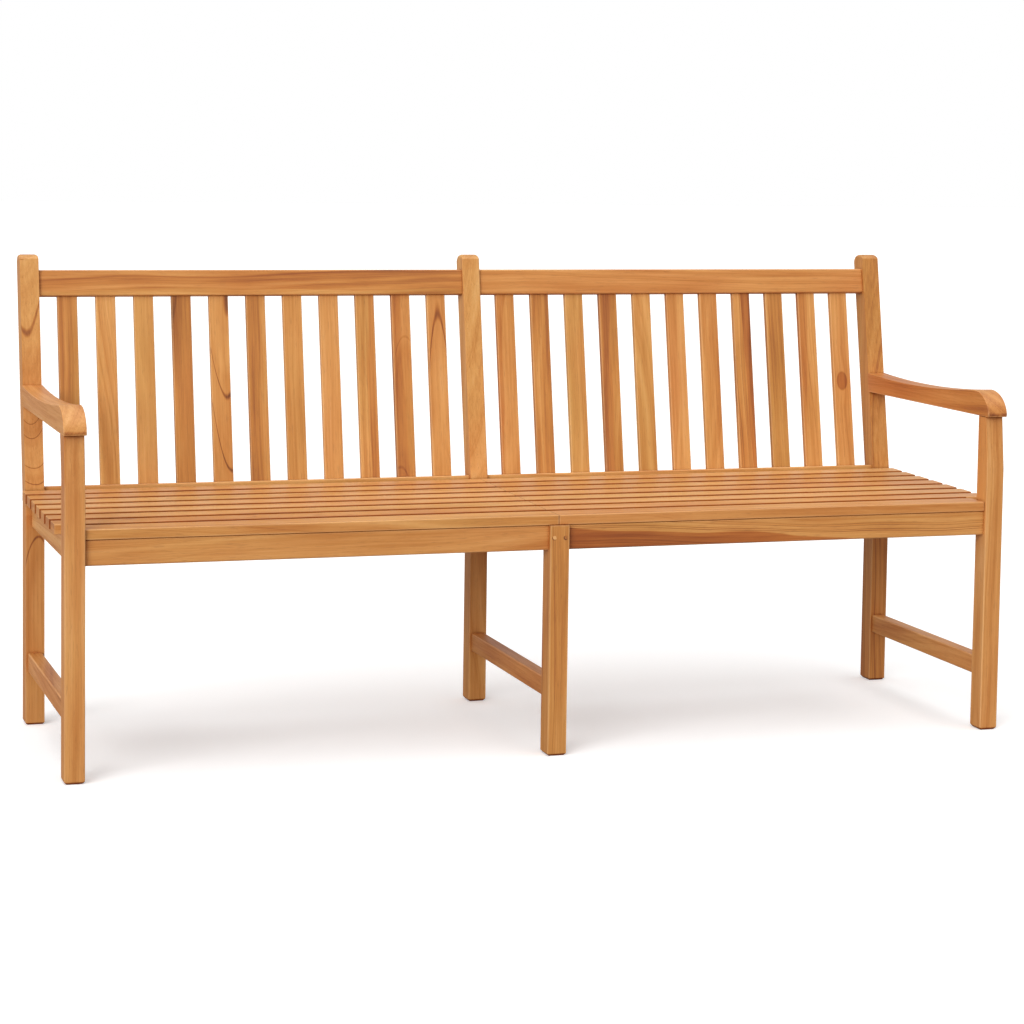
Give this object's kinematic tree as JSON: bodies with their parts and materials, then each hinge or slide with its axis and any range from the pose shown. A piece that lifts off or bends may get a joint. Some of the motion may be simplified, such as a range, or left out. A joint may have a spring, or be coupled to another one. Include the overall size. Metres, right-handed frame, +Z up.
{
  "type": "garden bench",
  "caption": "Slatted wooden garden bench with three frames, a leaning back of upright slats, a slatted seat and curved-top armrests.",
  "frame": {"origin": "on the floor, at the centre of the bench's outline seen from above", "axes": "+X along the bench, to the right as seen from the front; +Y from the front to the back; +Z up"},
  "size_m": [1.812, 0.6201, 0.893],
  "materials": {
    "teak": "satin",
    "pin_wood": "satin",
    "steel": "satin"
  },
  "bodies": {
    "root": {"rear_post_left": "teak", "rear_post_middle": "teak", "rear_post_right": "teak", "front_leg_left": "teak", "front_leg_middle": "teak", "front_leg_right": "teak", "armrest_left": "teak", "armrest_right": "teak", "side_seat_rail_left": "teak", "side_seat_rail_middle": "teak", "side_seat_rail_right": "teak", "stretcher_left": "teak", "stretcher_middle": "teak", "stretcher_right": "teak", "front_seat_rail_left": "teak", "front_seat_rail_right": "teak", "lower_back_rail_left": "teak", "lower_back_rail_right": "teak", "top_rail_left": "teak", "top_rail_right": "teak", "back_slat_left_1": "teak", "back_slat_left_2": "teak", "back_slat_left_3": "teak", "back_slat_left_4": "teak", "back_slat_left_5": "teak", "back_slat_left_6": "teak", "back_slat_left_7": "teak", "back_slat_left_8": "teak", "back_slat_left_9": "teak", "back_slat_left_10": "teak", "back_slat_left_11": "teak", "back_slat_right_1": "teak", "back_slat_right_2": "teak", "back_slat_right_3": "teak", "back_slat_right_4": "teak", "back_slat_right_5": "teak", "back_slat_right_6": "teak", "back_slat_right_7": "teak", "back_slat_right_8": "teak", "back_slat_right_9": "teak", "back_slat_right_10": "teak", "back_slat_right_11": "teak", "seat_slat_left_1": "teak", "seat_slat_left_2": "teak", "seat_slat_left_3": "teak", "seat_slat_left_4": "teak", "seat_slat_left_5": "teak", "seat_slat_left_6": "teak", "seat_slat_left_7": "teak", "seat_slat_left_8": "teak", "seat_slat_right_1": "teak", "seat_slat_right_2": "teak", "seat_slat_right_3": "teak", "seat_slat_right_4": "teak", "seat_slat_right_5": "teak", "seat_slat_right_6": "teak", "seat_slat_right_7": "teak", "seat_slat_right_8": "teak", "tenon_pins": "pin_wood", "seat_screws": "steel"}
  },
  "joints": []
}
